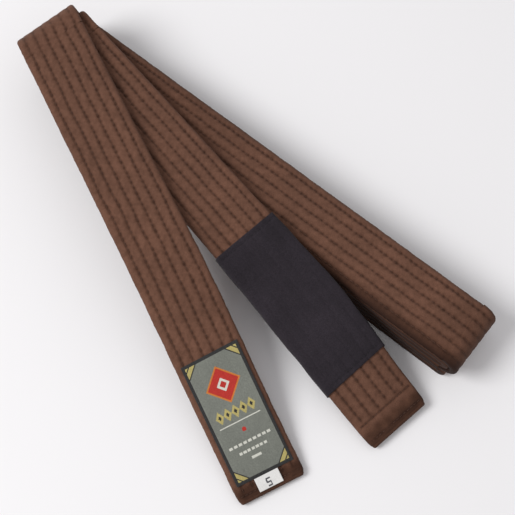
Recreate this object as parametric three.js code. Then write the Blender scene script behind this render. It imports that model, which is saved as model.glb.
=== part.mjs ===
// Folded martial arts belt: a quilted cotton belt, doubled, folded in three and laid flat,
// with its two free ends fanned out from the last fold.
// Millimetres, +Z up. The folded layers run along X. The belt's first and second halves are the
// label strand and the bar strand. Both are folded together, so their layers are interleaved.
import * as THREE from 'three';

// ---------------------------------------------------------------- driving dimensions
const BELT_WIDTH = 42;
const BELT_THICKNESS = 4.8;
const LAYER_GAP = 0.6;            // air between two folded layers
const COVER_WALL = 1.0;           // folded cotton cover round the core
const COVER_SEAM_SHARE = 0.62;    // how far out from the middle its lengthwise seam lies
const CORE_CLEARANCE = 0.15;      // between cover, core plies and each other
const FLAT_LENGTH = 304;          // straight length of a folded layer, fold axis to fold axis
const LABEL_END_LENGTH = 305;     // free end with the woven label, from its fold
const BAR_END_LENGTH = 313;       // free end with the rank bar, from its fold
const LABEL_END_ANGLE = 25;       // degrees in plan between the free end and the layers
const BAR_END_ANGLE = 11;
const FOLD_SETBACK = 8;           // from a fold's centre line out to the line it opens about
const SEAM_MARGIN = 2.6;          // straight belt kept beyond a fold before the moving part starts
const SEAM_GAP = 0.5;             // between a fold and the moving part that leaves it
const REST_CLEARANCE = 0.3;       // under a free end where it lies on the ground
const LABEL_END_TWIST = 0.8;      // how much later the inner edge sinks, per millimetre of width
const BAR_END_TWIST = 1.8;
const LABEL_END_OVERRUN = 8;      // how far past its tip a free end would be flat on the ground
const BAR_END_OVERRUN = 17;
const LABEL_END_SHARE = 0.88;     // it sinks this share of the way to where it leaves the bar end
const SLANT_LENGTH = 60;          // the cuts across a free end are slanted up to here
const LABEL_FOLD_SLACK = 1.3;     // added to a fold's radius, as it is never pressed flat
const BAR_FOLD_SLACK = 0.8;
const QUILT_ROWS = 6;
const QUILT_SPACING = 6.4;
const QUILT_INSET = 5;            // from a seam to the first stitch
const CROSS_STITCH_INSET = 3;     // from the belt's edge to a row of stitching across it
const THREAD_WIDTH = 0.8;
const THREAD_HEIGHT = 0.3;
const SURFACE_CLEARANCE = 0.1;    // between a thread, label or tag and the cloth under it
const BAR_LENGTH = 100;           // rank bar sleeve
const BAR_TO_TIP = 39.5;
const BAR_WALL = 0.7;
const BAR_STITCH_INSET = 3;
const LABEL_LENGTH = 73;
const LABEL_WIDTH = 36;
const LABEL_THICKNESS = 0.5;
const LABEL_TO_TIP = 10;
const LABEL_STITCH_INSET = 1.2;
const TAG_LENGTH = 8;
const TAG_WIDTH = 15;
const TAG_THICKNESS = 0.4;
const LABEL_TIP_STITCHES = [4];       // distances of the cross stitching from the belt's tips
const BAR_TIP_STITCHES = [4, 14];
const TIP_PINCH = 0.75;           // thickness left at a stitched tip, as a share
const TIP_LENGTH = 5;
const FOLD_STEPS = 8;
const STEP_LENGTH = 20;           // spacing of the cuts along a free end

// ---------------------------------------------------------------- derived sizes
const halfWidth = BELT_WIDTH / 2;
const halfThickness = BELT_THICKNESS / 2;
const pitch = BELT_THICKNESS + LAYER_GAP;
const innerRadius = pitch / 2;
const outerRadius = pitch * 1.5;
const layerHeight = (layer) => (layer + 0.5) * pitch;
const radians = THREE.MathUtils.degToRad;
const smooth = (t) => THREE.MathUtils.smoothstep(t, 0, 1);

// The two strands leave the far fold at slightly different angles, so the outer fold stands
// clear of the inner one by what that skew needs across the belt's width.
const skewRoom = halfWidth * Math.tan(radians((LABEL_END_ANGLE - BAR_END_ANGLE) / 2)) + LAYER_GAP;
const nearX = 0;                              // inner fold, where the free ends leave
const farX = nearX + FLAT_LENGTH;             // the other end of the folded layers
const seamRadius = Math.hypot(FOLD_SETBACK, outerRadius + halfThickness) + SEAM_MARGIN;

// Each opening fold: where its cylinder's axis stands, and the radius that the moving part clears.
const farFold = {
  height: 4 * pitch,
  hingeX: farX + FOLD_SETBACK,
  clear: seamRadius,
};
const labelFold = makeFreeFold({
  x: nearX - skewRoom,
  layer: 4,
  angle: LABEL_END_ANGLE,
  radius: outerRadius + LABEL_FOLD_SLACK,
  clear: seamRadius + LABEL_FOLD_SLACK,
});
const barFold = makeFreeFold({
  x: nearX,
  layer: 5,
  angle: BAR_END_ANGLE,
  radius: innerRadius + BAR_FOLD_SLACK,
  clear: seamRadius + LABEL_FOLD_SLACK + skewRoom,
});

function makeFreeFold({ x, layer, angle, radius, clear }) {
  const half = radians(angle / 2);
  const normal = new THREE.Vector3(Math.cos(half), -Math.sin(half), 0);
  const along = new THREE.Vector3(Math.sin(half), Math.cos(half), 0);
  const centre = new THREE.Vector3(x, 0, layerHeight(layer) + radius);
  const exit = centre.clone().addScaledVector(along, -Math.PI * radius * Math.tan(half));
  return { half, normal, along, centre, exit, radius, clear };
}

// ---------------------------------------------------------------- materials
const cotton = (color) => new THREE.MeshStandardMaterial({ color, roughness: 0.9, metalness: 0 });
const coverCloth = cotton(0x69483c);
const coreFelt = cotton(0xd8cfc0);
const quiltThread = cotton(0x4a3027);
const barCloth = cotton(0x302c33);
const barThread = cotton(0x1f1d22);
const labelWeave = cotton(0x77796d);
const labelThread = cotton(0x2a2a2a);
const tagCloth = cotton(0xe9e7e2);

// ---------------------------------------------------------------- swept solids
// A ring is a closed list of points; rings with equal counts are skinned into one closed solid.
// The outline, in the section's own two coordinates, says how the two end faces are filled.
function skin(rings, outline, closed = false) {
  const count = rings[0].length;
  const index = [];
  const spans = closed ? rings.length : rings.length - 1;
  for (let i = 0; i < spans; i += 1) {
    const here = i * count;
    const next = ((i + 1) % rings.length) * count;
    for (let j = 0; j < count; j += 1) {
      const k = (j + 1) % count;
      // The diagonal always climbs the same way across the belt, whichever way the face is walked.
      if (outline[j].x <= outline[k].x) {
        index.push(here + j, here + k, next + k);
        index.push(here + j, next + k, next + j);
      } else {
        index.push(here + j, here + k, next + j);
        index.push(here + k, next + k, next + j);
      }
    }
  }
  if (!closed) {
    const last = (rings.length - 1) * count;
    const clockwise = THREE.ShapeUtils.isClockWise(outline);
    for (const face of THREE.ShapeUtils.triangulateShape(outline.map((point) => point.filled), [])) {
      const [a, b, c] = clockwise ? face.toReversed() : face;
      index.push(a, c, b);
      index.push(last + a, last + b, last + c);
    }
  }
  const points = rings.flat();
  if (enclosedVolume(points, index) < 0) {
    index.reverse();
  }
  const geometry = new THREE.BufferGeometry().setFromPoints(points);
  geometry.setIndex(index);
  return geometry;
}

function enclosedVolume(points, index) {
  let sum = 0;
  for (let i = 0; i < index.length; i += 3) {
    const [a, b, c] = [points[index[i]], points[index[i + 1]], points[index[i + 2]]];
    sum += a.dot(b.clone().cross(c));
  }
  return sum / 6;
}

// ---------------------------------------------------------------- sections
// A section's x runs across the belt and its y through the belt's thickness. Wide faces are
// divided at columns, so that pieces laid on each other stay parallel where the belt twists.
const rowOffsets = Array.from({ length: QUILT_ROWS }, (_, row) => (
  QUILT_SPACING * (row - (QUILT_ROWS - 1) / 2)
));
const seamLeft = -halfWidth * COVER_SEAM_SHARE;
const seamRight = seamLeft + COVER_WALL * 0.3;
const coreColumns = [seamLeft, seamRight, 0, -seamLeft];

const between = (columns, low, high) => columns.filter((x) => x > low && x < high);

// The end faces are filled from a copy of the outline in which the columns on a straight side are
// drawn a hair into the cloth, so that each of them becomes a corner of a triangle.
const FILL_NUDGE = 0.001;

function asPoints(outline) {
  return outline.map(([x, y, inward = 0]) => {
    const point = new THREE.Vector2(x, y);
    point.filled = new THREE.Vector2(x, y + inward * FILL_NUDGE * (1 - (x / BELT_WIDTH) ** 2));
    return point;
  });
}

function boxSection(left, right, low, high, columns = []) {
  const inside = between(columns, left, right);
  return asPoints([
    [left, low],
    [left, high],
    ...inside.map((x) => [x, high, -1]),
    [right, high],
    [right, low],
    ...inside.toReversed().map((x) => [x, low, 1]),
  ]);
}

// Cloth wrapped round something flat: a thin wall with soft edges, and an open seam underneath.
function wrapSection({ half, thick, wall, soft, outer = [], inner = [] }) {
  const edge = thick * 0.38;
  const flat = half - soft;
  const inHalf = half - wall * 1.5;
  const inThick = thick - wall;
  return asPoints([
    [seamRight, -thick],
    ...between(outer, seamRight, flat).map((x) => [x, -thick, 1]),
    [flat, -thick],
    [half, -edge],
    [half, edge],
    [flat, thick],
    ...between(outer, -flat, flat).toReversed().map((x) => [x, thick, -1]),
    [-flat, thick],
    [-half, edge],
    [-half, -edge],
    [-flat, -thick],
    ...between(outer, -flat, seamLeft).map((x) => [x, -thick, 1]),
    [seamLeft, -thick],
    [seamLeft, -inThick],
    ...between(inner, -inHalf, seamLeft).toReversed().map((x) => [x, -inThick, -1]),
    [-inHalf, -inThick],
    [-inHalf, inThick],
    ...between(inner, -inHalf, inHalf).map((x) => [x, inThick, 1]),
    [inHalf, inThick],
    [inHalf, -inThick],
    ...between(inner, seamRight, inHalf).toReversed().map((x) => [x, -inThick, -1]),
    [seamRight, -inThick],
  ]);
}

const coverSize = {
  half: halfWidth,
  thick: halfThickness,
  wall: COVER_WALL,
  soft: halfThickness * 0.75,
};
const layerCover = wrapSection(coverSize);
const endCover = wrapSection({ ...coverSize, outer: rowOffsets, inner: coreColumns });
const coreHalf = halfWidth - COVER_WALL * 1.5 - CORE_CLEARANCE;
const coreTop = halfThickness - COVER_WALL - CORE_CLEARANCE;
const corePlies = { top_ply: [CORE_CLEARANCE / 2, coreTop], bottom_ply: [-coreTop, -CORE_CLEARANCE / 2] };
const threadLow = halfThickness + SURFACE_CLEARANCE;
const threadHigh = threadLow + THREAD_HEIGHT;
const labelLow = threadHigh + SURFACE_CLEARANCE;
const labelHigh = labelLow + LABEL_THICKNESS;

function threadSection(offset, low = threadLow) {
  return boxSection(offset - THREAD_WIDTH / 2, offset + THREAD_WIDTH / 2, low, low + THREAD_HEIGHT);
}

// A row of stitching across the belt, over the lengthwise rows or a sleeve.
function crossSection(low) {
  const reach = halfWidth - CROSS_STITCH_INSET;
  return boxSection(-reach, reach, low, low + THREAD_HEIGHT, rowOffsets);
}

// ---------------------------------------------------------------- the folded layers
// A station places a section: its centre, the direction across the belt, and the direction
// through its thickness. Slanted directions give a slanted cut.
const station = (centre, across, through) => ({ centre, across, through });

function ringAt(place, section) {
  return section.map((point) => place.centre.clone()
    .addScaledVector(place.across, point.x)
    .addScaledVector(place.through, point.y));
}

function sweepStations(stations, section) {
  return skin(stations.map((place) => ringAt(place, section)), section);
}

const acrossY = new THREE.Vector3(0, 1, 0);

// A walk in the XZ plane: straight runs, and half turns that lead into the next layer.
function walk(start, heading) {
  const stations = [];
  let [x, z, angle] = [start[0], start[1], heading];
  const mark = () => stations.push(station(
    new THREE.Vector3(x, 0, z),
    acrossY,
    new THREE.Vector3(-Math.sin(angle), 0, Math.cos(angle)),
  ));
  return {
    stations,
    mark,
    runTo(nextX) {
      x = nextX;
      mark();
    },
    turn(direction, radius) {
      const centreX = x - Math.sin(angle) * radius * direction;
      const centreZ = z + Math.cos(angle) * radius * direction;
      const from = angle;
      for (let i = 1; i <= FOLD_STEPS; i += 1) {
        angle = from + direction * Math.PI * i / FOLD_STEPS;
        x = centreX + Math.sin(angle) * radius * direction;
        z = centreZ - Math.cos(angle) * radius * direction;
        mark();
      }
    },
  };
}

// The cut across a layer where the far fold meets the upper layers: square to the line from the
// fold's opening axis, so that the moving side swings clear of the fixed one.
function farSeam(layer, gap, upward) {
  const rise = layerHeight(layer) - farFold.height;
  const reach = Math.sqrt((farFold.clear + gap) ** 2 - rise ** 2);
  return station(
    new THREE.Vector3(farFold.hingeX - reach, 0, layerHeight(layer)),
    acrossY,
    new THREE.Vector3(rise / reach, 0, 1).multiplyScalar(upward),
  );
}

function lowerStations() {
  const path = walk([farX, layerHeight(5)], 0);
  path.stations.push(farSeam(5, 0, 1));
  path.mark();
  path.turn(-1, outerRadius);
  path.runTo(nearX);
  path.turn(1, innerRadius);
  path.runTo(farX);
  path.turn(-1, innerRadius);
  path.runTo(nearX);
  path.turn(-1, outerRadius);
  path.runTo(farX);
  path.turn(1, innerRadius);
  path.stations.push(farSeam(4, 0, -1));
  return path.stations;
}

// ---------------------------------------------------------------- the fold of a free end
// The belt meets this fold at a slant, so it wraps round the fold's axis as a short helix.
function freeFoldStations(fold, layer) {
  const stations = [farSeam(layer, SEAM_GAP, -1)];
  const slant = fold.along.clone().divideScalar(Math.cos(fold.half));
  for (let i = 0; i <= FOLD_STEPS; i += 1) {
    const angle = Math.PI * i / FOLD_STEPS;
    const outward = fold.normal.clone().multiplyScalar(-Math.sin(angle));
    outward.z = -Math.cos(angle);
    const centre = fold.centre.clone()
      .addScaledVector(fold.along, -angle * fold.radius * Math.tan(fold.half))
      .addScaledVector(outward, fold.radius);
    stations.push(station(centre, slant, outward));
  }
  const seam = freeSeam(fold, 0);
  const centre = fold.exit.clone()
    .addScaledVector(fold.normal, seam.reach)
    .addScaledVector(fold.along, -seam.reach * Math.tan(fold.half));
  centre.z = fold.centre.z + fold.radius;
  const leaning = fold.normal.clone().multiplyScalar(-seam.lean);
  leaning.z = 1;
  stations.push(station(centre, slant, leaning));
  return stations;
}

function freeSeam(fold, gap) {
  const reach = Math.sqrt((fold.clear + gap) ** 2 - fold.radius ** 2);
  return { reach: reach - FOLD_SETBACK, lean: fold.radius / reach };
}

// ---------------------------------------------------------------- the free ends
// A free end lies over the layers below, runs off their edge and sinks to the ground. Its outer
// edge sinks first. `side` is positive towards the folded layers.
function edgeCrossing(angle) {
  const turned = radians(angle);
  return (halfWidth + halfWidth * Math.cos(turned)) / Math.sin(turned);
}

const labelEnd = {
  fold: labelFold,
  angle: radians(LABEL_END_ANGLE),
  length: LABEL_END_LENGTH,
  leaves: edgeCrossing(LABEL_END_ANGLE - BAR_END_ANGLE) * LABEL_END_SHARE,
  twist: LABEL_END_TWIST,
  lands: LABEL_END_LENGTH + LABEL_END_OVERRUN,
};
const barEnd = {
  fold: barFold,
  angle: radians(BAR_END_ANGLE),
  length: BAR_END_LENGTH,
  leaves: edgeCrossing(BAR_END_ANGLE),
  twist: BAR_END_TWIST,
  lands: BAR_END_LENGTH + BAR_END_OVERRUN,
};

// The height of one edge of a free end, at one of the cuts along it.
function edgeHeight(end, along, start) {
  const aloft = end.fold.centre.z + end.fold.radius;
  const ground = REST_CLEARANCE + halfThickness;
  return aloft + (ground - aloft) * smooth((along - start) / (end.lands - start));
}

// Heights run straight from edge to edge, and from each cut to the next.
function endHeight(end, along, side) {
  const share = side / BELT_WIDTH + 0.5;
  const cut = Math.floor(along / STEP_LENGTH) * STEP_LENGTH;
  const heightAt = (place) => THREE.MathUtils.lerp(
    edgeHeight(end, place, end.leaves - end.twist * BELT_WIDTH),
    edgeHeight(end, place, end.leaves),
    share,
  );
  return THREE.MathUtils.lerp(heightAt(cut), heightAt(cut + STEP_LENGTH), (along - cut) / STEP_LENGTH);
}

function endPoint(end, along, side, through) {
  const turned = end.angle;
  return new THREE.Vector3(
    end.fold.exit.x + along * Math.cos(turned) + side * Math.sin(turned),
    end.fold.exit.y - along * Math.sin(turned) + side * Math.cos(turned),
    endHeight(end, along, side) + through,
  );
}

// Cuts near the fold are slanted like the fold, and straighten before the end begins to sink.
function endRing(end, along, section, lean = 0) {
  const slant = -Math.tan(end.fold.half) * (1 - smooth(along / SLANT_LENGTH));
  const pinch = tipPinch(end, along);
  return section.map(({ x, y }) => endPoint(end, along + x * slant + y * lean, x, y * pinch));
}

function tipPinch(end, along) {
  const share = THREE.MathUtils.clamp((along - end.length + TIP_LENGTH) / TIP_LENGTH, 0, 1);
  return 1 - (1 - TIP_PINCH) * share;
}

function cutsBetween(from, to) {
  const cuts = [from];
  for (let cut = Math.ceil(from / STEP_LENGTH) * STEP_LENGTH; cut < to; cut += STEP_LENGTH) {
    if (cut > from) {
      cuts.push(cut);
    }
  }
  return [...cuts, to];
}

function sweepEnd(end, section, from, to) {
  return skin(cutsBetween(from, to).map((along) => endRing(end, along, section)), section);
}

// The cover or core of a free end starts at the slanted, leaning seam beside its fold.
function sweepWholeEnd(end, section, to) {
  const seam = freeSeam(end.fold, SEAM_GAP);
  const secant = 1 / Math.cos(end.fold.half);
  const [from, ...cuts] = cutsBetween(seam.reach * secant, end.length - TIP_LENGTH);
  const rings = [endRing(end, from, section, -seam.lean * secant)];
  rings.push(...cuts.map((along) => endRing(end, along, section)));
  if (to > end.length - TIP_LENGTH) {
    rings.push(endRing(end, to, section));
  }
  return skin(rings, section);
}

// A thread that runs round a rectangle near its edge, as one closed ring.
function frameThread(end, from, to, half, low) {
  const cuts = cutsBetween(from, to);
  const outwardAt = (along) => Number(along === to) - Number(along === from);
  const path = [
    ...cuts.map((along) => ({ along, side: half, outward: outwardAt(along), sideOut: 1 })),
    ...cuts.toReversed().map((along) => ({ along, side: -half, outward: outwardAt(along), sideOut: -1 })),
  ];
  const corners = threadSection(0, low);
  const rings = path.map(({ along, side, outward, sideOut }) => corners.map(({ x, y }) => (
    endPoint(end, along + outward * x, side + sideOut * x, y)
  )));
  return skin(rings, corners, true);
}

// ---------------------------------------------------------------- assembly
const belt = new THREE.Group();

function add(name, geometry, material) {
  const mesh = new THREE.Mesh(geometry, material);
  mesh.name = name;
  belt.add(mesh);
}

function addLayers(name, stations) {
  add(`${name}_cover`, sweepStations(stations, layerCover), coverCloth);
  for (const [ply, [low, high]] of Object.entries(corePlies)) {
    const section = boxSection(-coreHalf, coreHalf, low, high);
    add(`${name}_core_${ply}`, sweepStations(stations, section), coreFelt);
  }
}

function addEnd(name, end) {
  add(`${name}_cover`, sweepWholeEnd(end, endCover, end.length), coverCloth);
  for (const [ply, [low, high]] of Object.entries(corePlies)) {
    const section = boxSection(-coreHalf, coreHalf, low, high, coreColumns);
    add(`${name}_core_${ply}`, sweepWholeEnd(end, section, end.length - TIP_LENGTH), coreFelt);
  }
}

function addEndThreads(name, end, tipStitches) {
  const first = freeSeam(end.fold, SEAM_GAP).reach + QUILT_INSET;
  const last = end.length - Math.max(...tipStitches) - THREAD_WIDTH * 2;
  for (let row = 0; row < QUILT_ROWS; row += 1) {
    const thread = sweepEnd(end, threadSection(rowOffsets[row]), first, last);
    add(`${name}_quilt_row_${row + 1}`, thread, quiltThread);
  }
  tipStitches.forEach((distance, i) => {
    const centre = end.length - distance;
    const [from, to] = [centre - THREAD_WIDTH / 2, centre + THREAD_WIDTH / 2];
    const thread = sweepEnd(end, crossSection(threadLow), from, to);
    add(`${name}_tip_stitch_${i + 1}`, thread, quiltThread);
  });
}

// The lower layers hold both strands, joined at the belt's middle by the small fold.
addLayers('lower_layers', lowerStations());
addLayers('upper_layer_label_strand', freeFoldStations(labelFold, 4));
addLayers('upper_layer_bar_strand', freeFoldStations(barFold, 5));
addEnd('label_end', labelEnd);
addEnd('bar_end', barEnd);

// Quilting on the faces that lie uppermost.
const topSeam = farSeam(5, SEAM_GAP, 1).centre.x;
for (let row = 0; row < QUILT_ROWS; row += 1) {
  const section = threadSection(rowOffsets[row]);
  const up = new THREE.Vector3(0, 0, 1);
  const ends = [nearX + QUILT_INSET, topSeam - QUILT_INSET].map((x) => (
    station(new THREE.Vector3(x, 0, layerHeight(5)), acrossY, up)
  ));
  add(`upper_layer_quilt_row_${row + 1}`, sweepStations(ends, section), quiltThread);
}
addEndThreads('label_end', labelEnd, LABEL_TIP_STITCHES);
addEndThreads('bar_end', barEnd, BAR_TIP_STITCHES);

// Rank bar: a sleeve wrapped round the belt over its quilting, with a row of stitching at each end.
const barTo = BAR_END_LENGTH - BAR_TO_TIP;
const barFrom = barTo - BAR_LENGTH;
const barInside = threadHigh + SURFACE_CLEARANCE;
const barSection = wrapSection({
  half: halfWidth + BAR_WALL * 1.5 + SURFACE_CLEARANCE,
  thick: barInside + BAR_WALL,
  wall: BAR_WALL,
  soft: BAR_WALL * 1.2,
  outer: rowOffsets,
  inner: rowOffsets,
});
add('rank_bar', sweepEnd(barEnd, barSection, barFrom, barTo), barCloth);
[barFrom + BAR_STITCH_INSET, barTo - BAR_STITCH_INSET].forEach((centre, i) => {
  const section = crossSection(barInside + BAR_WALL + SURFACE_CLEARANCE);
  const thread = sweepEnd(barEnd, section, centre - THREAD_WIDTH / 2, centre + THREAD_WIDTH / 2);
  add(`rank_bar_stitch_${i + 1}`, thread, barThread);
});

// Woven label, the thread that holds it, and the size tag caught at its edge.
const labelTo = LABEL_END_LENGTH - LABEL_TO_TIP;
const labelFrom = labelTo - LABEL_LENGTH;
const labelSection = boxSection(-LABEL_WIDTH / 2, LABEL_WIDTH / 2, labelLow, labelHigh, rowOffsets);
add('woven_label', sweepEnd(labelEnd, labelSection, labelFrom, labelTo), labelWeave);
add('woven_label_stitch', frameThread(
  labelEnd,
  labelFrom + LABEL_STITCH_INSET,
  labelTo - LABEL_STITCH_INSET,
  LABEL_WIDTH / 2 - LABEL_STITCH_INSET,
  labelHigh + SURFACE_CLEARANCE,
), labelThread);
const tagFrom = labelTo + SURFACE_CLEARANCE * 2;
const tagLow = labelLow + SURFACE_CLEARANCE;
const tagSection = boxSection(-TAG_WIDTH / 2, TAG_WIDTH / 2, tagLow, tagLow + TAG_THICKNESS, rowOffsets);
add('size_tag', sweepEnd(labelEnd, tagSection, tagFrom, tagFrom + TAG_LENGTH), tagCloth);

// The lines that the folds open about, in the same frame as the meshes.
const hingeAt = (fold) => fold.centre.clone().addScaledVector(fold.normal, -FOLD_SETBACK);
const hinges = {
  far_fold: { point: new THREE.Vector3(farFold.hingeX, 0, farFold.height), axis: acrossY.clone() },
  label_fold: { point: hingeAt(labelFold), axis: labelFold.along.clone().negate() },
  bar_fold: { point: hingeAt(barFold), axis: barFold.along.clone().negate() },
};

// The origin is the middle of the underside.
const box = new THREE.Box3().setFromObject(belt);
const middle = box.getCenter(new THREE.Vector3());
const toOrigin = new THREE.Vector3(-middle.x, -middle.y, -box.min.z);
for (const mesh of belt.children) {
  mesh.geometry.translate(toOrigin.x, toOrigin.y, toOrigin.z);
}
for (const hinge of Object.values(hinges)) {
  hinge.point.add(toOrigin);
}
belt.userData.hinges = hinges;

export default belt;
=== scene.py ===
import math

import bpy
import numpy as np
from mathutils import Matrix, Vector


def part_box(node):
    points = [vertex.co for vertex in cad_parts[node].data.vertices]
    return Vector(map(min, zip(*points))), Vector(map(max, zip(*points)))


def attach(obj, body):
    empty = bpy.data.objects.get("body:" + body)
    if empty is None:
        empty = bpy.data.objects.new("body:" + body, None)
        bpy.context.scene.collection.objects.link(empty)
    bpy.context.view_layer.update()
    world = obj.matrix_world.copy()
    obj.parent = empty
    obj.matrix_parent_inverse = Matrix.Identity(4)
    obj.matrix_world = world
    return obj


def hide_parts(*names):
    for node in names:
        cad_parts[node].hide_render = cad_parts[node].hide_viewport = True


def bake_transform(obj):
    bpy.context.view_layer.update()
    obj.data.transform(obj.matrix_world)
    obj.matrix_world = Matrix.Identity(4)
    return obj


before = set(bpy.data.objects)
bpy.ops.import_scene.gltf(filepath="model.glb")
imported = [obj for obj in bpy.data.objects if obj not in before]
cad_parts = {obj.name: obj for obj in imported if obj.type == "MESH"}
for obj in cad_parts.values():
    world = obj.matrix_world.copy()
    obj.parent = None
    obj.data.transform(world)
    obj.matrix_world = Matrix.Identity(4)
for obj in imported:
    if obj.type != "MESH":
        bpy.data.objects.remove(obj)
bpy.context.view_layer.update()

# ---------------------------------------------------------------- sizes, in millimetres
# They repeat the CAD source's, in its own layout: folded layers along X, near fold at X = 0.
WIDTH = 42.0
HALF = WIDTH / 2
HALF_THICK = 2.4
LAYER_GAP = 0.6              # air between two folded layers
PITCH = 5.4                  # from one folded layer to the next
FLAT = 304.0                 # folded layers, from near fold to far fold
INNER, OUTER = PITCH / 2, PITCH * 1.5
LABEL_END_ANGLE, BAR_END_ANGLE = 25, 11
LABEL_END_LENGTH, BAR_END_LENGTH = 305.0, 313.0
SETBACK = 8.0                # from a fold's centre line out to the line it opens about
SEAM_MARGIN = 2.6            # straight belt kept beyond a fold
LABEL_FOLD_SLACK, BAR_FOLD_SLACK = 1.3, 0.8
CLEAR = math.hypot(SETBACK, OUTER + HALF_THICK) + SEAM_MARGIN     # radius that a moving part clears
SKEW_ROOM = HALF * math.tan(math.radians((LABEL_END_ANGLE - BAR_END_ANGLE) / 2)) + LAYER_GAP
REST_CLEARANCE = 0.3         # under a free end where it lies on the ground
SLANT_LENGTH = 60            # the cuts across a run are slanted up to here
TIP_LENGTH, TIP_PINCH = 5, 0.25

ROW_SPACING = 6.4            # quilting rows
ROWS = (np.arange(6) - 2.5) * ROW_SPACING
STITCH = 3.7                 # from one stitch hole to the next
GROOVE_DEPTH, GROOVE_WIDTH = 0.36, 0.85
HOLE_DEPTH, HOLE_WIDTH = 0.26, 0.8
THREAD_RADIUS = 0.2
THREAD_SINK = 0.13           # of a quilting thread under the belt's nominal face
HOLE_TO_THREAD = 0.45        # from a hole's centre to where its thread comes up
CROSS_REACH = 19.0           # how far a row across the belt reaches to each side
ENDLESS = 1e9
LABEL_END_SEED, BAR_END_SEED = 81, 91

BAR_LENGTH, BAR_TO_TIP, BAR_STITCH_INSET = 100, 39.5, 3
BAR_HALF_WIDTH, BAR_HALF_THICK = 22.0, 3.45
LABEL_LENGTH, LABEL_WIDTH, LABEL_TO_TIP = 73.0, 36.0, 10
LABEL_LEVEL, LABEL_THREAD_LEVEL, LABEL_STITCH_INSET = 3.15, 3.17, 1.1
LABEL_THICKNESS, TAG_THICKNESS = 0.5, 0.35
TAG_HALF_WIDTH, TAG_LENGTH, TAG_LEVEL, TAG_GAP = 7.5, 8.0, 3.3, 0.2

FINE, COARSE, WEAVE_GRID = 0.55, 2.5, 0.3     # grids along the visible runs, the hidden ones, the label
LOWEST = 0.02                # no cloth lies under this height

# The CAD layout's own origin lies at the near fold, on the ground line.
low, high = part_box("lower_layers_cover")
SHIFT = np.array([
    high.x * 1000 - FLAT - OUTER - HALF_THICK,
    low.y * 1000 + HALF,
    low.z * 1000 - REST_CLEARANCE,
])


def layer_height(layer):
    return (layer + 0.5) * PITCH


def smooth(t):
    t = np.clip(t, 0, 1)
    return t * t * (3 - 2 * t)


def spaced(start, end, step):
    return np.linspace(start, end, max(3, int(math.ceil(abs(end - start) / step)) + 1))


def to_row(points):
    """Layout millimetres to metres in the row frame."""
    return (np.asarray(points, float) + SHIFT) * 0.001


# ---------------------------------------------------------------- irregularity
def wander(seed, a, b, size):
    """A smooth random field over two coordinates, about -1 to 1, with features of that size."""
    waves = 9
    draws = np.random.RandomState(seed)
    total = np.zeros(np.broadcast(a, b).shape)
    for _ in range(waves):
        heading = draws.uniform(0, 2 * np.pi)
        wave = 2 * np.pi / (size * draws.uniform(0.7, 1.9))
        start = draws.uniform(0, 6.28)
        total += np.sin(wave * (a * math.cos(heading) + b * math.sin(heading)) + start)
    return total / math.sqrt(waves) * 0.8


# ---------------------------------------------------------------- quilting
def row_drift(seed, s, row):
    """How far a row strays sideways."""
    return 0.22 * wander(seed + 3, s, row, 26)


def stitch_count(seed, s, row):
    """The distance along a row counted in stitches, with a hole at each whole number."""
    number = np.round((row - ROWS[0]) / ROW_SPACING)
    return (s + number * 1.37 + 0.35 * wander(seed + 5, s, row, 17)) / STITCH


def quilting(seed, s, u, stop=ENDLESS):
    """Height of the quilted face over its nominal level, and its wear and painted shade, low in the hollows.
    """
    row = ROWS[np.argmin(np.abs(u[..., None] - ROWS), axis=-1)]
    off = u - row - row_drift(seed, s, row)
    phase = 2 * np.pi * stitch_count(seed, s, row)
    sewn = smooth((stop - s) / 2.5)
    groove = np.exp(-(off / GROOVE_WIDTH) ** 2) * sewn
    hole = np.exp(-(off / HOLE_WIDTH) ** 2) * (0.5 + 0.5 * np.cos(phase)) ** 2 * sewn
    pillow = 0.5 - 0.5 * np.cos(2 * np.pi * np.clip(np.abs(off), 0, ROW_SPACING / 2) / ROW_SPACING)
    pucker = np.sin(phase + 0.9 * np.sin(u * 1.1)) * (0.35 + 0.65 * (1 - pillow)) * sewn
    uneven = wander(seed + 7, s, u * 1.4, 5.5)
    sunk = GROOVE_DEPTH * groove + HOLE_DEPTH * hole
    height = 0.22 - sunk - 0.1 * (1 - pillow) + 0.12 * pucker + 0.1 * uneven
    # Painted shade and dirt darken the grooves and holes; wear and painted light brighten the pillows'
    # crests.
    wear_and_shade = 0.8 + 0.1 * pillow + 0.06 * pucker + 0.08 * uneven - 0.19 * groove - 0.14 * hole
    return height, wear_and_shade


# ---------------------------------------------------------------- meshes
def new_object(name, vertices, faces):
    """A smooth-shaded object. Its vertices are in metres, in the row frame."""
    mesh = bpy.data.meshes.new(name)
    mesh.from_pydata(vertices.tolist(), [], faces)
    mesh.polygons.foreach_set("use_smooth", np.ones(len(mesh.polygons), bool))
    o = bpy.data.objects.new(name, mesh)
    bpy.context.scene.collection.objects.link(o)
    return o


def grid_mesh(name, points, closed, wear_and_shade=None):
    """A mesh over a grid of points, rows along the belt; closed joins each row into a ring."""
    rows, count = points.shape[:2]
    i = np.arange(rows - 1)[:, None]
    j = np.arange(count if closed else count - 1)[None, :]
    k = (j + 1) % count
    quads = np.stack([i * count + j, i * count + k, (i + 1) * count + k, (i + 1) * count + j], axis=-1)
    vertices = to_row(points).reshape(-1, 3)
    vertices[:, 2] = np.maximum(vertices[:, 2], LOWEST * 0.001)
    o = new_object(name, vertices, quads.reshape(-1, 4).tolist())
    if wear_and_shade is not None:
        attribute = o.data.attributes.new("wear_and_shade", "FLOAT", "POINT")
        attribute.data.foreach_set("value", np.asarray(wear_and_shade, np.float32).ravel())
    o.data.validate()
    o.data.update()
    return o


def join(name, objects):
    """One mesh from several, all in place."""
    bpy.ops.object.select_all(action="DESELECT")
    for o in objects:
        o.select_set(True)
    bpy.context.view_layer.objects.active = objects[0]
    bpy.ops.object.join()
    objects[0].name = name
    return objects[0]


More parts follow.
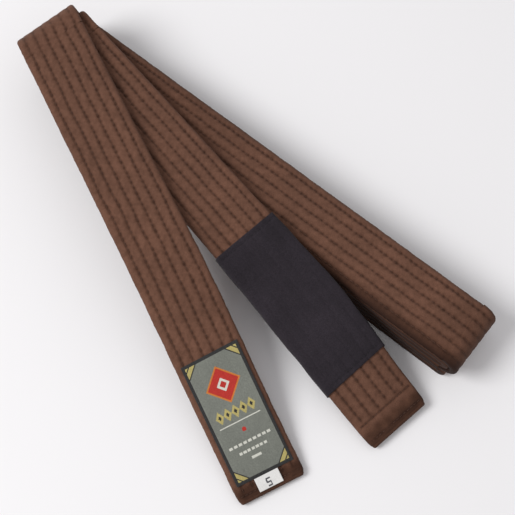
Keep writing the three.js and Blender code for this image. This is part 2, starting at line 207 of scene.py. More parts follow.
def ring(across, edge, half=HALF, thick=HALF_THICK, soft=2.3):
    """A closed outline of the belt's section: u across, v through, and how far each point faces up or
    down."""
    squared = 0.78
    flat = np.linspace(-1, 1, across)
    flat = np.sign(flat) * np.abs(flat) ** 0.96 * (half - soft)
    turn = np.linspace(0, np.pi, edge + 2)[1:-1]
    bend_u = np.sign(np.sin(turn)) * np.abs(np.sin(turn)) ** squared * soft
    bend_v = np.sign(np.cos(turn)) * np.abs(np.cos(turn)) ** squared * thick
    u = np.concatenate([flat, half - soft + bend_u, flat[::-1], -(half - soft) - bend_u])
    v = np.concatenate([np.full(across, thick), bend_v, np.full(across, -thick), -bend_v])
    facing = np.clip((half - np.abs(u)) / soft, 0, 1) ** 0.7 * np.sign(v)
    return u, v, facing


full = ring(76, 9)                                        # a run that shows
plain = ring(26, 9, thick=HALF_THICK + 0.24, soft=1.3)    # a hidden one
underside = ring(76, 9, soft=1.6)
free = ring(96, 11)


def swept(name, s, place, seed, section, rows=True, stop=ENDLESS, tip=None, cross=(),
          shade=1.0, edge_shade=1.0, side_shade=0.0, edge_wave=0.12, droop=0.5, calm=0.0):
    """A run of belt: place() maps grids of s along it, u across and v through it to points.

    The rows of quilting end at stop, the belt's rounded end lies at tip, and cross lists its rows
    of stitching across. shade darkens the whole run, edge_shade its edges and the next argument its
    rounded outer side, all as painted shade.
    edge_wave and droop shape its edges, and calm makes the quilting shallower halfway along.
    """
    u, v, share = section
    s_grid = np.broadcast_to(s[:, None], (len(s), len(u)))
    u_grid = np.broadcast_to(u, s_grid.shape)
    v_grid = np.broadcast_to(v, s_grid.shape)
    if rows:
        height, wear_and_shade = quilting(seed, s_grid, u_grid, stop)
    else:
        height = 0.1 * wander(seed, s_grid, u_grid, 9)
        wear_and_shade = 0.8 + 0.08 * wander(seed + 1, s_grid, u_grid, 7)
    height = height * (1 - calm * np.sin(np.pi * (s_grid - s[0]) / (s[-1] - s[0])))
    facing = np.abs(share)
    v_new = v_grid + np.sign(share) * height * facing
    v_new = v_new - np.where(v_grid > 0, droop, 0) * smooth((np.abs(u_grid) - 13.5) / 8) ** 1.5
    # The belt's edges are soft and uneven.
    side = np.sign(u_grid) * (1 - facing)
    u_new = u_grid + side * edge_wave * wander(seed + 11, s_grid, np.sign(u_grid) * 50, 12)
    u_new = u_new + side * 0.09 * wander(seed + 13, s_grid, v_grid * 2 + np.sign(u_grid) * 90, 2.6)
    # Painted shade on the edges, which face sideways, darker still where edge_shade is low.
    painted_edge_shade = (0.72 + 0.1 * wander(seed + 17, s_grid, v_grid * 3, 3)) * edge_shade
    wear_and_shade = wear_and_shade * facing + painted_edge_shade * (1 - facing)
    # Painted shade where the stack's side rounds off and the cloth turns from the light.
    wear_and_shade = wear_and_shade * (1 - side_shade * smooth((-u_grid - 11) / 10))
    # Rows across the belt sink in, and painted shade darkens their grooves.
    for line in cross:
        sunk = np.exp(-((s_grid - line) / 0.7) ** 2) * (np.abs(u_grid) < CROSS_REACH)
        v_new = v_new - np.sign(share) * 0.3 * sunk * facing
        wear_and_shade = wear_and_shade - 0.36 * sunk
    if tip is not None:
        # The tip is folded in: rounded in plan, and puckered from the last row of stitches on.
        left = np.clip((tip - s_grid) / 7.0, 0, 1)
        u_new = u_new * (1 - (1 - left) ** 4 * 0.12)
        near = smooth((s_grid - (tip - 13)) / 8)
        crease = wander(seed + 21, s_grid, u_grid * 0.35, 4.6)
        v_new = v_new + np.sign(v_grid) * facing * near * (0.5 * crease - 0.15)
        # Towards the tip the colour darkens, and the creases get painted shade.
        wear_and_shade = wear_and_shade * (1 - 0.6 * near) + 0.07 * crease * near
    return grid_mesh(name, place(s_grid, u_new, v_new), True, np.clip(wear_and_shade * shade, 0, 1))


# ---------------------------------------------------------------- stitches
CAPSULE_SIDES = 6
CAPSULE_WIDTH = np.array([0.35, 0.9, 1.0, 0.9, 0.35])
CAPSULE_RISE = np.array([-1.3, -0.15, 0.1, -0.15, -1.3])


def stitches(name, seams):
    """Short threads, each a tapered capsule that dips at both ends. A seam is its threads' starts,
    ends and upward directions."""
    starts, ends, ups = (np.concatenate(part) for part in zip(*seams))
    line = ends - starts
    along = line / np.linalg.norm(line, axis=1, keepdims=True)
    across = np.cross(along, ups)
    across /= np.linalg.norm(across, axis=1, keepdims=True)
    up = np.cross(across, along)
    rings = len(CAPSULE_WIDTH)
    width = THREAD_RADIUS * CAPSULE_WIDTH
    rise = THREAD_RADIUS * CAPSULE_RISE
    t = np.linspace(0, 1, rings)
    turn = np.arange(CAPSULE_SIDES) * 2 * np.pi / CAPSULE_SIDES
    centre = starts[:, None] + line[:, None] * t[None, :, None] + up[:, None] * rise[None, :, None]
    round_it = (across[:, None, None] * np.cos(turn)[None, None, :, None]
                + up[:, None, None] * np.sin(turn)[None, None, :, None])
    points = centre[:, :, None] + round_it * width[None, :, None, None]
    sides = []
    for i in range(rings - 1):
        for j in range(CAPSULE_SIDES):
            k = (j + 1) % CAPSULE_SIDES
            here, there = i * CAPSULE_SIDES, (i + 1) * CAPSULE_SIDES
            sides.append([here + j, here + k, there + k, there + j])
    each = rings * CAPSULE_SIDES
    first = np.arange(len(starts)) * each
    faces = (np.array(sides)[None] + first[:, None, None]).reshape(-1, 4).tolist()
    for n in first.tolist():
        faces.append([n + j for j in range(CAPSULE_SIDES)][::-1])
        faces.append([n + each - CAPSULE_SIDES + j for j in range(CAPSULE_SIDES)])
    o = new_object(name, to_row(points.reshape(-1, 3)), faces)
    o.data.update()
    return o


def row_seams(place, seed, start, stop):
    """A thread from hole to hole along each row of quilting."""
    seams = []
    for row in ROWS:
        s = np.arange(start, stop, 0.05)
        count = stitch_count(seed, s, np.full_like(s, row))
        holes = s[1:][np.diff(np.floor(count)) > 0]
        ends = []
        for at in (holes[:-1] + HOLE_TO_THREAD, holes[1:] - HOLE_TO_THREAD):
            u = row + row_drift(seed, at, np.full_like(at, row))
            ends.append(place(at, u, np.full_like(at, HALF_THICK - THREAD_SINK)))
        middle = (holes[:-1] + holes[1:]) / 2
        u = np.full_like(middle, row)
        up = place(middle, u, np.ones_like(middle)) - place(middle, u, np.zeros_like(middle))
        seams.append((*ends, up))
    return seams


def cross_seam(place, along, level, half):
    """A row of stitches across the belt."""
    pitch, gap = 2.7, 0.3
    u = np.arange(-half, half - pitch + 0.01, pitch)
    s, v = np.full_like(u, along), np.full_like(u, level)
    up = place(s, u, v + 1) - place(s, u, v)
    return place(s, u + gap, v), place(s, u + pitch - gap, v), up


# ---------------------------------------------------------------- the folded layers' places
def straight(layer, seed=None):
    """place() for a run along X at a layer; s is x. With a seed the run sways a little."""
    def place(s, u, v):
        sway = 0 if seed is None else 0.35 * wander(seed + 31, s, s * 0, 90)
        return np.stack([s + 0 * u, u + sway, layer_height(layer) + v + 0 * s], axis=-1)
    return place


def half_turn(x, z, radius, side):
    """place() for a half turn in the XZ plane; s is the angle from the lower run, and v points outwards."""
    def place(s, u, v):
        reach = radius + v
        return np.stack([x + side * np.sin(s) * reach, u + 0 * s, z - np.cos(s) * reach], axis=-1)
    return place


def far_turn(radius):
    """place() for a loop of the far fold; s is the distance round it."""
    turn = half_turn(FLAT, 4 * PITCH, radius, 1)

    def place(s, u, v):
        return turn(s / radius, u, v)
    return place


def upper_run(fold):
    """place() for an upper layer, whose near end is slanted to meet its fold; s is x."""
    def place(s, u, v):
        lean = math.tan(fold.half) * (1 - smooth((s - fold.centre[0]) / SLANT_LENGTH))
        return np.stack([s + u * lean, u + 0 * s, layer_height(fold.layer) + v + 0 * s], axis=-1)
    return place


# ---------------------------------------------------------------- the folds of the free ends
class Fold:
    """A near fold on a slanted axis, from an upper layer to the free end that leaves it."""

    def __init__(self, x, layer, angle, radius, clear):
        self.layer, self.radius = layer, radius
        self.half = math.radians(angle / 2)
        self.normal = np.array([math.cos(self.half), -math.sin(self.half), 0])
        self.along = np.array([math.sin(self.half), math.cos(self.half), 0])
        self.centre = np.array([x, 0, layer_height(layer) + radius])
        self.exit = self.centre - self.along * math.pi * radius * math.tan(self.half)
        self.reach = math.sqrt(clear ** 2 - radius ** 2) - SETBACK
        self.length = math.pi * radius + self.reach

    def place(self, s, u, v):
        """s is the distance from the lower run; past the half turn the belt runs on level."""
        s = s / self.radius
        angle = np.clip(s, 0, math.pi)
        past = np.maximum(s - math.pi, 0) * self.radius
        outward = -self.normal * np.sin(angle)[..., None]
        outward[..., 2] = -np.cos(angle)
        centre = self.centre - self.along * (angle * self.radius * math.tan(self.half))[..., None]
        across = self.along / math.cos(self.half)
        level = self.normal - self.along * math.tan(self.half)
        point = centre + outward * (self.radius + v)[..., None] + across * u[..., None]
        return point + level * past[..., None]


label_fold = Fold(-SKEW_ROOM, 4, LABEL_END_ANGLE, OUTER + LABEL_FOLD_SLACK, CLEAR + LABEL_FOLD_SLACK)
bar_fold = Fold(0, 5, BAR_END_ANGLE, INNER + BAR_FOLD_SLACK, CLEAR + LABEL_FOLD_SLACK + SKEW_ROOM)


# ---------------------------------------------------------------- the free ends' places
class End:
    """A free end, which runs from its fold down to the ground.

    crossing is the angle at which it crosses its neighbour, and share how far towards leaving that
    neighbour it starts to sink. twist is how much later its inner edge sinks, per millimetre of
    width, and overrun how far past its tip it would lie flat.
    """

    def __init__(self, fold, angle, length, crossing, share, twist, overrun):
        turned = math.radians(crossing)
        self.fold, self.angle, self.length, self.twist = fold, math.radians(angle), length, twist
        self.leaves = (HALF + HALF * math.cos(turned)) / math.sin(turned) * share
        self.lands = length + overrun
        self.start = fold.reach / math.cos(fold.half)
        self.heading = np.array([math.cos(self.angle), -math.sin(self.angle), 0])
        self.across = np.array([math.sin(self.angle), math.cos(self.angle), 0])

    def edge_height(self, s, start):
        aloft, ground = self.fold.centre[2] + self.fold.radius, REST_CLEARANCE + HALF_THICK
        return aloft + (ground - aloft) * smooth((s - start) / (self.lands - start))

    def height(self, s, u):
        share = u / WIDTH + 0.5
        outer = self.edge_height(s, self.leaves - self.twist * WIDTH)
        return outer + (self.edge_height(s, self.leaves) - outer) * share

    def place(self, s, u, v):
        """s is the distance from the fold's exit."""
        slant = -math.tan(self.fold.half) * (1 - smooth(s / SLANT_LENGTH))
        pinch = 1 - TIP_PINCH * np.clip((s - self.length + TIP_LENGTH) / TIP_LENGTH, 0, 1)
        along = s + u * slant
        c, n = math.cos(self.angle), math.sin(self.angle)
        return np.stack([
            self.fold.exit[0] + along * c + u * n,
            self.fold.exit[1] - along * n + u * c,
            self.height(along, u) + v * pinch,
        ], axis=-1)


label_end = End(label_fold, LABEL_END_ANGLE, LABEL_END_LENGTH, LABEL_END_ANGLE - BAR_END_ANGLE, 0.88, 0.8, 8)
bar_end = End(bar_fold, BAR_END_ANGLE, BAR_END_LENGTH, BAR_END_ANGLE, 1.0, 1.8, 17)


# ---------------------------------------------------------------- materials
def cloth(name, color, rough=0.9, sheen=0.25, vary=0.25, weave=0.45, bump=0.35, dark=None):
    """Cloth with a woven bump, and colour that varies in patches and thread by thread.

    weave is the threads' spacing in millimetres. dark is the colour of the darkest painted shade,
    where the mesh carries its wear and painted shade as an attribute.
    """
    m = bpy.data.materials.new(name)
    m.use_nodes = True
    nodes, links = m.node_tree.nodes, m.node_tree.links
    nodes.clear()
    out = nodes.new("ShaderNodeOutputMaterial")
    shader = nodes.new("ShaderNodeBsdfPrincipled")
    shader.inputs["Roughness"].default_value = rough
    shader.inputs["Sheen Weight"].default_value = sheen
    shader.inputs["Sheen Roughness"].default_value = 0.5
    shader.inputs["Specular IOR Level"].default_value = 0.18
    links.new(shader.outputs[0], out.inputs["Surface"])
    where = nodes.new("ShaderNodeTexCoord")
    color = np.array(color, float)

    def noise(scale, detail, roughness=0.6):
        n = nodes.new("ShaderNodeTexNoise")
        n.inputs["Scale"].default_value = scale
        n.inputs["Detail"].default_value = detail
        n.inputs["Roughness"].default_value = roughness
        links.new(where.outputs["Object"], n.inputs["Vector"])
        return n.outputs["Fac"]

    def ramp(source, *stops):
        r = nodes.new("ShaderNodeValToRGB")
        ends = r.color_ramp.elements
        ends[0].position, ends[1].position = stops[0][0], stops[-1][0]
        ends[0].color, ends[1].color = (*stops[0][1], 1), (*stops[-1][1], 1)
        for position, value in stops[1:-1]:
            ends.new(position).color = (*value, 1)
        links.new(source, r.inputs["Fac"])
        return r.outputs["Color"]

    def multiplied(factor, a, b):
        x = nodes.new("ShaderNodeMix")
        x.data_type, x.blend_type = "RGBA", "MULTIPLY"
        x.inputs[0].default_value = factor
        links.new(a, x.inputs[6])
        links.new(b, x.inputs[7])
        return x.outputs[2]

    def bumped(height, distance, normal=None):
        b = nodes.new("ShaderNodeBump")
        b.inputs["Strength"].default_value = bump
        b.inputs["Distance"].default_value = distance
        links.new(height, b.inputs["Height"])
        if normal is not None:
            links.new(normal, b.inputs["Normal"])
        return b.outputs["Normal"]

    def threads(axis):
        wave = nodes.new("ShaderNodeTexWave")
        wave.bands_direction = axis
        wave.inputs["Scale"].default_value = 1000 / (weave * 3.14)
        wave.inputs["Distortion"].default_value = 1.4
        wave.inputs["Detail"].default_value = 1.0
        links.new(where.outputs["Object"], wave.inputs["Vector"])
        return wave.outputs["Fac"]

    patches = ramp(noise(38, 4), (0.3, color * (1 - vary)), (0.7, np.minimum(color * (1 + vary), 1)))
    fibres = ramp(noise(1500, 2, 0.7), (0.28, (0.5,) * 3), (0.72, (1.08,) * 3))
    base = multiplied(min(1.0, vary * 4.5), patches, fibres)
    # Wear and painted shade from the mesh darken the grooves, the edges and the stack's side, and lighten
    # the crests.
    if dark is not None:
        hollow = nodes.new("ShaderNodeAttribute")
        hollow.attribute_name = "wear_and_shade"
        tone = ramp(hollow.outputs["Fac"], (0.0, dark), (0.5, (0.56, 0.52, 0.48)), (0.95, (1.04,) * 3))
        base = multiplied(1.0, base, tone)
    links.new(base, shader.inputs["Base Color"])

    woven = nodes.new("ShaderNodeMath")
    woven.operation = "MULTIPLY"
    links.new(threads("X"), woven.inputs[0])
    links.new(threads("Y"), woven.inputs[1])
    normal = bumped(woven.outputs[0], 0.0002)
    normal = bumped(noise(700, 4, 0.7), 0.0003, normal)
    links.new(normal, shader.inputs["Normal"])
    return m


belt_cloth = cloth("belt_cotton", (0.160, 0.0755, 0.048), sheen=0.04, vary=0.14, dark=(0.09, 0.055, 0.04))
thread = cloth("quilt_thread", (0.105, 0.050, 0.033), rough=0.75, sheen=0.05, vary=0.2, bump=0.2)
bar_cloth = cloth("rank_bar", (0.0285, 0.0225, 0.0290), sheen=0.05, vary=0.2, weave=0.4, bump=0.5)
bar_thread = cloth("bar_thread", (0.017, 0.014, 0.018), rough=0.7, sheen=0.1, vary=0.1)
core_felt = cloth("core", (0.68, 0.62, 0.54), vary=0.08, weave=1.2)
woven_look = {"weave": 0.3, "bump": 0.25}
label_field = cloth("label", (0.205, 0.215, 0.185), rough=0.6, vary=0.14, **woven_look)
label_gold = cloth("label_gold", (0.50, 0.42, 0.15), rough=0.55, vary=0.14, **woven_look)
label_border = cloth("label_border", (0.030, 0.030, 0.030), rough=0.65, vary=0.14, **woven_look)
label_red = cloth("label_red", (0.50, 0.032, 0.022), rough=0.6, vary=0.12, **woven_look)
label_orange = cloth("label_orange", (0.62, 0.20, 0.035), rough=0.6, vary=0.12, **woven_look)
label_white = cloth("label_white", (0.68, 0.68, 0.60), rough=0.6, vary=0.1, **woven_look)
label_thread = cloth("label_thread", (0.030, 0.029, 0.028), rough=0.7, vary=0.1)
tag_cloth = cloth("tag", (0.80, 0.79, 0.77), rough=0.6, sheen=0.1, vary=0.05, weave=0.3, bump=0.2)
tag_print = cloth("tag_print", (0.10, 0.10, 0.11), rough=0.7, sheen=0.1, vary=0.1, weave=0.3, bump=0.2)


def finish_piece(o, m, body=None, blend=None, replaces=()):
    """A piece's material, its body and the CAD parts it replaces.

    blend is two bodies and two points, which go unused; a blend only bakes the piece's transform.
    """
    if not o.data.materials:
        o.data.materials.append(m)
    if body:
        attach(o, body)
    if blend:
        lower_body, upper_body, start, end = blend
        Vector(to_row(start))
        Vector(to_row(end))
        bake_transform(o)
    if replaces:
        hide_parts(*replaces)


def cloth_nodes(name):
    """A CAD cover and its two core plies."""
    return f"{name}_cover", f"{name}_core_top_ply", f"{name}_core_bottom_ply"


def row_nodes(name):
    """The CAD's rows of quilting on a run."""
    return [f"{name}_quilt_row_{n}" for n in range(1, len(ROWS) + 1)]


# ---------------------------------------------------------------- build: the lower layers
turns = np.linspace(0, math.pi, 22)
folded = spaced(0, FLAT, COARSE)
# The hidden runs and turns get painted shade, and their edges, which make up the stack's side, almost black
# painted shade.
hidden = {"rows": False, "shade": 0.7, "droop": 0}
lower = [
    swept("run_2", folded, straight(2, 12), 12, plain, edge_shade=0.05, **hidden),
    swept("run_1", folded, straight(1, 21), 21, plain, edge_shade=0.05, **hidden),
    swept("run_0", folded, straight(0), 30, underside, shade=0.8, edge_shade=0.05, droop=0),
    swept("run_3", folded, straight(3), 33, plain, edge_shade=0.06, **hidden),
]
for name, x, z, radius, side, seed in (
    ("turn_2_1", 0, 2 * PITCH, INNER, -1, 41),
    ("turn_1_0", FLAT, PITCH, INNER, 1, 42),
    ("turn_0_3", 0, 2 * PITCH, OUTER, -1, 43),
):
    turn = half_turn(x, z, radius, side)
    lower.append(swept(name, turns, turn, seed, plain, edge_wave=0, edge_shade=0.05, **hidden))
lower = join("lower_layers", lower)
finish_piece(lower, belt_cloth, body="lower_layers",
             replaces=cloth_nodes("lower_layers"))

# ---------------------------------------------------------------- build: the far fold
# Two loops join the lower and upper layers round the far fold. The visible one turns from the light at the
# far end.
FAR_SEED = 51
round_fold = np.linspace(0, math.pi, 120)
# Painted shade: the hidden inner loop is darker, and the visible one darkens towards the lower layers, where
# it turns from the light.
painted_far_shade = (0.5 + 0.4 * smooth(round_fold / math.pi * 1.7 - 0.7))[:, None]
for name, radius, look in (
    ("far_fold_inner_loop", INNER, {"rows": False, "section": plain, "shade": 0.6}),
    ("far_fold_outer_loop", OUTER, {"section": full, "shade": painted_far_shade, "side_shade": 0.8}),
):
    loop = swept(name, round_fold * radius, far_turn(radius), FAR_SEED, edge_wave=0, edge_shade=0.4,
                 droop=0, calm=0.5, **look)
    inside = radius - HALF_THICK
    blend = "lower_layers", "upper_layers", (FLAT, 0, 4 * PITCH - inside), (FLAT, 0, 4 * PITCH + inside)
    finish_piece(loop, belt_cloth, blend=blend)
sewn = stitches("far_fold_stitches", row_seams(far_turn(OUTER), FAR_SEED, 0.5, math.pi * OUTER - 0.5))
finish_piece(sewn, thread, blend=blend)

# ---------------------------------------------------------------- build: the upper layers and near folds
BAR_RUN_SEED = 71
# Painted shade on both runs' edges, and on the shown run's rounded outer side.
shown = {"section": full, "edge_shade": 0.5, "droop": 1.6, "side_shade": 0.8}
covered = {"section": plain, "edge_shade": 0.1, "droop": 0, "rows": False}
for fold, strand, seed, step, look in (
    (label_fold, "label", 61, COARSE, covered),
    (bar_fold, "bar", BAR_RUN_SEED, FINE, shown),
):
    x0 = fold.centre[0]
    s = spaced(x0, FLAT, step)
    # Painted shadow of the free ends darkens it beside them, and painted shade darkens it towards the far
    # fold.
    shade = (0.8 + 0.2 * smooth((s - 60) / 120) - 0.1 * smooth((s - FLAT + 30) / 30))[:, None]
    run = swept(f"upper_layer_{strand}_strand", s, upper_run(fold), seed, shade=shade, **look)
    finish_piece(run, belt_cloth, body="upper_layers",
                 replaces=cloth_nodes(f"upper_layer_{strand}_strand"))

    # v points outwards round the fold, so the belt's underside at the lower run is its outer face.
    loop = swept(f"{strand}_fold_loop", spaced(0, fold.length, 0.5), fold.place, seed + 4, full,
                 edge_wave=0.05, droop=0, calm=0.6)
    lower_top = layer_height(fold.layer) + HALF_THICK + 0.2
    upper_low = fold.centre[2] + fold.radius - HALF_THICK - 0.4
    blend = "upper_layers", f"{strand}_end", (x0, 0, lower_top), (x0, 0, upper_low)
    finish_piece(loop, belt_cloth, blend=blend)
    sewn = stitches(f"{strand}_fold_stitches", row_seams(fold.place, seed + 4, 0.5, fold.length - 0.5))
    finish_piece(sewn, thread, blend=blend)

sewn = stitches("upper_layer_stitches", row_seams(upper_run(bar_fold), BAR_RUN_SEED, 1.0, FLAT))
finish_piece(sewn, thread, body="upper_layers", replaces=row_nodes("upper_layer"))


# ---------------------------------------------------------------- build: the free ends
CAP_LENGTH = 1.6             # the rounded cap that closes a tip
CAP_STEPS = 6


def tip_cap(name, end, cover):
    """Shrinking rings that close a free end past its cover's last ring."""
    u = free[0]
    last = np.array([vertex.co for vertex in cover.data.vertices[-len(u):]]) * 1000 - SHIFT
    middle_height = end.height(np.full_like(u, end.length), u)
    sideways = (last - last.mean(axis=0)) @ end.across
    rings = [last]
    for turn in np.linspace(0, math.pi / 2, CAP_STEPS + 1)[1:]:
        grown = last + end.heading * CAP_LENGTH * math.sin(turn)
        grown[:, 2] = middle_height + (last[:, 2] - middle_height) * math.cos(turn) ** 0.7
        rings.append(grown - np.outer(sideways, end.across) * 1.4 * (1 - math.cos(turn)) / HALF)
    return grid_mesh(name, np.array(rings), True, np.full((len(rings), len(u)), 0.42))


for end, name, seed, stop, to_tip in (
    (label_end, "label_end", LABEL_END_SEED, 300.0, (4.0,)),
    (bar_end, "bar_end", BAR_END_SEED, 298.5, (4.0, 14.0)),
):
    cross = [end.length - distance for distance in to_tip]
    s = spaced(end.start, end.length - CAP_LENGTH, FINE)
    cover = swept(f"{name}_cover_cloth", s, end.place, seed, free, stop=stop, tip=end.length, cross=cross)
    cover = join(f"{name}_cover_cloth", [cover, tip_cap(f"{name}_tip", end, cover)])
    finish_piece(cover, belt_cloth, body=name, replaces=(f"{name}_cover",))
    seams = row_seams(end.place, seed, end.start + 0.5, stop)
    for line in cross:
        seams.append(cross_seam(end.place, line, HALF_THICK + 0.05, CROSS_REACH))
    sewn = stitches(f"{name}_stitches", seams)
    tip_nodes = [f"{name}_tip_stitch_{n}" for n in range(1, len(cross) + 1)]
    finish_piece(sewn, thread, body=name, replaces=row_nodes(name) + tip_nodes)

# ---------------------------------------------------------------- build: the rank bar
BAR_GRID, BAR_RIM, RIM_STEP = 0.6, 0.78, 0.05
bar_to = bar_end.length - BAR_TO_TIP
bar_from = bar_to - BAR_LENGTH
bar_rows = bar_from + BAR_STITCH_INSET, bar_to - BAR_STITCH_INSET
sleeve_u, sleeve_v, sleeve_share = ring(110, 11, half=BAR_HALF_WIDTH, thick=BAR_HALF_THICK, soft=2.6)
s = np.concatenate([[bar_from + RIM_STEP], spaced(bar_from, bar_to, BAR_GRID), [bar_to - RIM_STEP]])
s_grid = np.broadcast_to(s[:, None], (len(s), len(sleeve_u)))
u_grid = np.broadcast_to(sleeve_u, s_grid.shape)
facing = np.abs(sleeve_share)
# The first and last rings turn in, as a rim.
rim = np.ones_like(s_grid)
rim[[0, -1]] = BAR_RIM
under, _ = quilting(BAR_END_SEED, s_grid, u_grid)
stitched = sum(np.exp(-((s_grid - row) / 0.9) ** 2) for row in bar_rows)
ripple = 0.4 * under + 0.16 * wander(95, s_grid, u_grid * 2.2, 16) + 0.06 * wander(96, s_grid, u_grid, 4)
v_grid = (sleeve_v + np.sign(sleeve_share) * (ripple - 0.35 * stitched) * facing) * rim
u_new = u_grid * np.where(rim < 1, 0.985, 1)
u_new = u_new + np.sign(u_grid) * (1 - facing) * 0.2 * wander(97, s_grid, u_grid * 0, 14)
sleeve = grid_mesh("rank_bar_sleeve", bar_end.place(s_grid, u_new, v_grid), True)
finish_piece(sleeve, bar_cloth, body="bar_end", replaces=("rank_bar",))
perimeter = np.hypot(np.diff(sleeve_u, append=sleeve_u[0]), np.diff(sleeve_v, append=sleeve_v[0])).sum()
sewn = stitches("rank_bar_stitches", [
    cross_seam(bar_end.place, row, BAR_HALF_THICK - 0.16, 19.6) for row in bar_rows])
finish_piece(sewn, bar_thread, body="bar_end", replaces=(
    "rank_bar_stitch_1", "rank_bar_stitch_2"))


# ---------------------------------------------------------------- build: the woven label
def patch(name, s0, s1, half, level, thickness, materials, choose, ripple):
    """A thin woven piece laid on the label end: a top face with a rim, and a material for each face."""
    s, u = spaced(s0, s1, WEAVE_GRID), spaced(-half, half, WEAVE_GRID)
    s = np.concatenate([[s0], s, [s1]])
    u = np.concatenate([[-half], u, [half]])
    s_grid, u_grid = np.meshgrid(s, u, indexing="ij")
    levels = level + ripple(s_grid, u_grid)
    levels[[0, -1], :] -= thickness
    levels[:, [0, -1]] -= thickness
    o = grid_mesh(name, label_end.place(s_grid, u_grid, levels), False)
    for m in materials:
        o.data.materials.append(m)
    t = (s_grid[:-1, :-1] + s_grid[1:, 1:]) / 2 - s0
    across = (u_grid[:-1, :-1] + u_grid[1:, 1:]) / 2
    o.data.polygons.foreach_set("material_index", choose(t, across).astype(np.int32).ravel())
    return o


def label_weave(t, u):
    """Which colour of thread shows, at t along the label from its upper end and u across it."""
    field, border, gold, red, orange, white = range(6)
    emblem_at, emblem_reach = 18.6, 11.0
    band_at, band_reach, diamond_width = 34.6, 3.8, 5.0
    line_at, dot_at, dot_radius = 40.4, 45.5, 1.3
    dashed_lines = (52.5, 13.5, 3.0), (57.3, 8.6, 2.6), (61.8, 3.0, 9.0)     # where, reach, dash spacing
    pick = np.full(t.shape, field)
    to_end, to_side = np.minimum(t, LABEL_LENGTH - t), LABEL_WIDTH / 2 - np.abs(u)
    # Gold corners inside a thin dark line, with another across them.
    corner = to_end + to_side
    pick[corner < 10.6] = gold
    pick[(corner >= 9.8) & (corner < 10.6)] = border
    pick[(corner > 5.6) & (corner < 6.3)] = border
    # A plain lozenge in a thin outline, with a small pale one inside it.
    lozenge = np.abs(t - emblem_at) / emblem_reach + np.abs(u) / emblem_reach
    for size, color in ((1.0, orange), (0.88, red), (0.36, white), (0.2, red)):
        pick[lozenge < size] = color
    # A band of hollow gold diamonds.
    half = diamond_width / 2
    across = np.mod(u + half, diamond_width) - half
    diamond = np.abs(across) / half + np.abs(t - band_at) / band_reach
    band = (np.abs(t - band_at) < band_reach) & (np.abs(u) < 12.5)
    pick[band & (diamond < 1.0)] = gold
    pick[band & (diamond < 0.4)] = border
    # A fine pale line, a small red dot, and dashed lines.
    pick[(np.abs(t - line_at) < 0.4) & (np.abs(u) < 13)] = white
    pick[(t - dot_at) ** 2 + u ** 2 < dot_radius ** 2] = red
    for at, reach, spacing in dashed_lines:
        dash = np.mod(u + 40, spacing) < spacing - 0.7
        pick[(np.abs(t - at) < 0.62) & (np.abs(u) < reach) & dash] = white
    pick[np.minimum(to_end, to_side) < 1.7] = border
    return pick


def label_ripple(s, u):
    """The quilting under the label shows through a little."""
    return 0.10 * quilting(LABEL_END_SEED, s, u)[0] + 0.05 * wander(83, s, u, 14)


label_to = label_end.length - LABEL_TO_TIP
label_from = label_to - LABEL_LENGTH
label_colors = label_field, label_border, label_gold, label_red, label_orange, label_white
woven = patch("woven_label_cloth", label_from, label_to, LABEL_WIDTH / 2, LABEL_LEVEL, LABEL_THICKNESS,
              label_colors, label_weave, label_ripple)
finish_piece(woven, label_field, body="label_end", replaces=("woven_label",))


def label_seam(start, stop, fixed, lengthwise):
    """A row of stitches just inside one edge of the label."""
    pitch, gap = 2.4, 0.3
    p = np.arange(start, stop - 2.2, pitch)
    ends = []
    for at in (p + gap, p + pitch - gap):
        s, u = (at, np.full_like(p, fixed)) if lengthwise else (np.full_like(p, fixed), at)
        ends.append(label_end.place(s, u, np.full_like(p, LABEL_THREAD_LEVEL)))
    return *ends, np.tile([0, 0, 1.0], (len(p), 1))


seam_half = LABEL_WIDTH / 2 - LABEL_STITCH_INSET
seam_from, seam_to = label_from + LABEL_STITCH_INSET, label_to - LABEL_STITCH_INSET
sewn = stitches("woven_label_stitches", [
    label_seam(seam_from, seam_to, seam_half, True),
    label_seam(seam_from, seam_to, -seam_half, True),
    label_seam(-seam_half, seam_half, seam_from, False),
    label_seam(-seam_half, seam_half, seam_to, False),
])
finish_piece(sewn, label_thread, body="label_end", replaces=("woven_label_stitch",))


# ---------------------------------------------------------------- build: the size tag
def tag_marks(t, u):
    """A plain figure made of bars, as generic size tags carry."""
    reach, thin, half_width, side_at = 2.0, 0.42, 1.3, 1.1
    x, y = u + 0.2, t - 4.9
    pick = np.zeros(t.shape)
    for bar in (-reach, 0, reach):
        pick[(np.abs(y - bar) < thin) & (np.abs(x) < half_width)] = 1
    pick[(np.abs(x + side_at) < thin) & (y > -reach) & (y < 0)] = 1
    pick[(np.abs(x - side_at) < thin) & (y > 0) & (y < reach)] = 1
    return pick


def tag_ripple(s, u):
    return 0.05 * wander(99, s, u, 8)


tag_from = label_to + TAG_GAP
tag = patch("size_tag_tape", tag_from, tag_from + TAG_LENGTH, TAG_HALF_WIDTH, TAG_LEVEL, TAG_THICKNESS,
            (tag_cloth, tag_print), tag_marks, tag_ripple)
finish_piece(tag, tag_cloth, body="label_end", replaces=("size_tag",))

# ---------------------------------------------------------------- the cores inside the free ends
for end_name in ("label_end", "bar_end"):
    for core in cloth_nodes(end_name)[1:]:
        materials = bpy.data.objects[core].data.materials
        materials.clear()
        materials.append(core_felt)

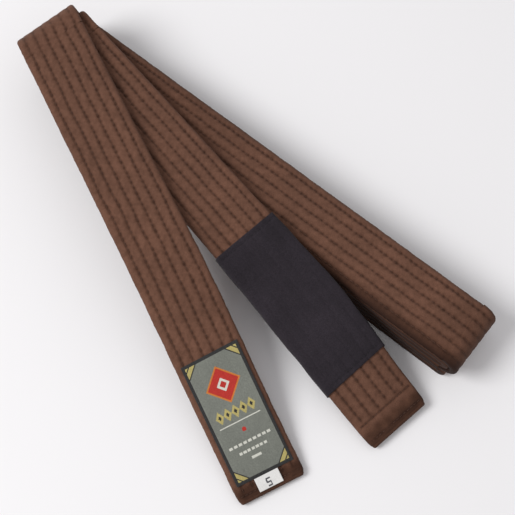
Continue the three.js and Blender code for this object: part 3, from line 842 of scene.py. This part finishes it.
# ---------------------------------------------------------------- stage, light, camera
AZIMUTH, ELEVATION, DISTANCE, LENS = 38.4, 71.1, 0.735, 83.8
LOOK_AT = Vector((0.0293, 0.0367, 0.0))
KEY_AZIMUTH, KEY_ELEVATION, KEY_DISTANCE, KEY_SIZE, KEY_POWER = -42, 45, 2.5, 1.25, 42
SKY, SKY_STRENGTH = (1.0, 0.985, 1.0, 1), 0.575
FLOOR = (0.875, 0.868, 0.875, 1)

bpy.ops.mesh.primitive_plane_add(size=6, location=(0, 0, 0))
floor = bpy.context.object
floor.name = "floor"
paper = bpy.data.materials.new("floor")
paper.use_nodes = True
paper_shader = paper.node_tree.nodes["Principled BSDF"]
paper_shader.inputs["Base Color"].default_value = FLOOR
paper_shader.inputs["Roughness"].default_value = 0.95
paper_shader.inputs["Specular IOR Level"].default_value = 0.1
floor.data.materials.append(paper)

scene = bpy.context.scene
scene.view_settings.view_transform = "Standard"
world = bpy.data.worlds.new("studio")
world.use_nodes = True
world.node_tree.nodes["Background"].inputs["Color"].default_value = SKY
world.node_tree.nodes["Background"].inputs["Strength"].default_value = SKY_STRENGTH
scene.world = world


def seen_from(azimuth, elevation, distance):
    """A place that looks at the belt from there, in degrees round and above it and in metres."""
    a, e = math.radians(azimuth), math.radians(elevation)
    return LOOK_AT + distance * Vector((math.sin(a) * math.cos(e), -math.cos(a) * math.cos(e), math.sin(e)))


def aimed(name, data, place):
    """A light or camera at a place, turned to the belt."""
    o = bpy.data.objects.new(name, data)
    o.location = place
    o.rotation_mode = "QUATERNION"
    o.rotation_quaternion = (LOOK_AT - place).to_track_quat("-Z", "Y")
    scene.collection.objects.link(o)
    return o


key = bpy.data.lights.new("key", "AREA")
key.shape, key.size, key.energy = "DISK", KEY_SIZE, KEY_POWER
aimed("key", key, seen_from(KEY_AZIMUTH, KEY_ELEVATION, KEY_DISTANCE))

camera = bpy.data.cameras.new("camera")
camera.lens, camera.sensor_width = LENS, 36
scene.camera = aimed("camera", camera, seen_from(AZIMUTH, ELEVATION, DISTANCE))
